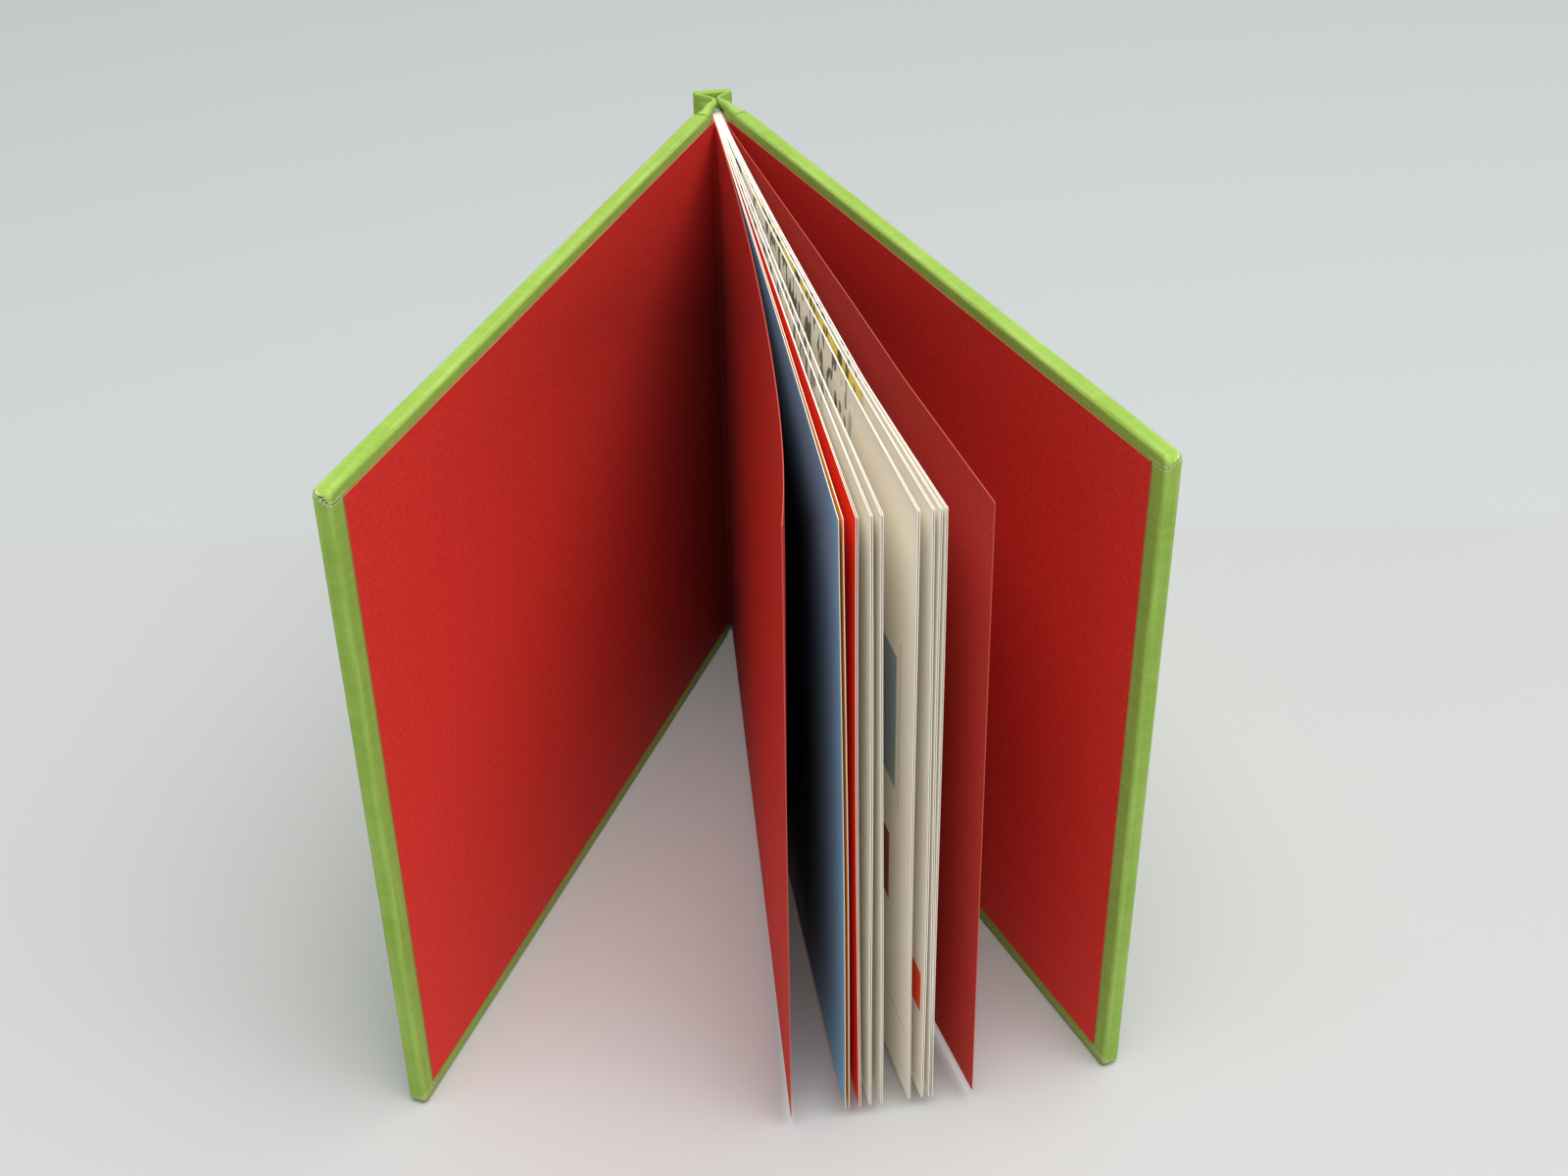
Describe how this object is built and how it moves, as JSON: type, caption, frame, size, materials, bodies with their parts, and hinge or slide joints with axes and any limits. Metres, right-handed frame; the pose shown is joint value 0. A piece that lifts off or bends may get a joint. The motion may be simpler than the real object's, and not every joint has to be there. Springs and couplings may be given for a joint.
{
  "type": "hardcover book",
  "caption": "Small landscape book in cloth-covered boards with coloured endpapers, standing open with its leaves fanned.",
  "frame": {"origin": "middle of the foot of the spine strip, on the surface the book stands on", "axes": "+X across the spine towards the back cover, -Y towards the fore edge, +Z from tail to head"},
  "size_m": [0.1312, 0.1676, 0.1333],
  "materials": {
    "cloth": "lime green plain-weave book cloth, matt, rubbed pale at the edges",
    "board": "grey bookbinding board",
    "endpaper": "red mottled uncoated paper",
    "page": "uncoated cream paper",
    "lining": "open-weave lining cloth set in glue"
  },
  "bodies": {
    "leaves_and_spine": {"text_block": "page", "front_flyleaf": "endpaper", "back_flyleaf": "endpaper", "spine_lining": "lining", "spine_inlay": "board", "spine_cloth": "cloth"},
    "front_cover": {"front_board": "board", "front_cover_cloth": "cloth", "front_pastedown": "endpaper"},
    "back_cover": {"back_board": "board", "back_cover_cloth": "cloth", "back_pastedown": "endpaper"}
  },
  "joints": [
    {"name": "front_cover_hinge", "type": "hinge", "parent": "leaves_and_spine", "child": "front_cover", "pos_m": [-0.00157, -0.0112, 0], "axis": [0, 0, -1], "range_deg": [-23, 75]},
    {"name": "back_cover_hinge", "type": "hinge", "parent": "leaves_and_spine", "child": "back_cover", "pos_m": [0.00157, -0.0112, 0], "axis": [0, 0, 1], "range_deg": [-8, 89]}
  ]
}
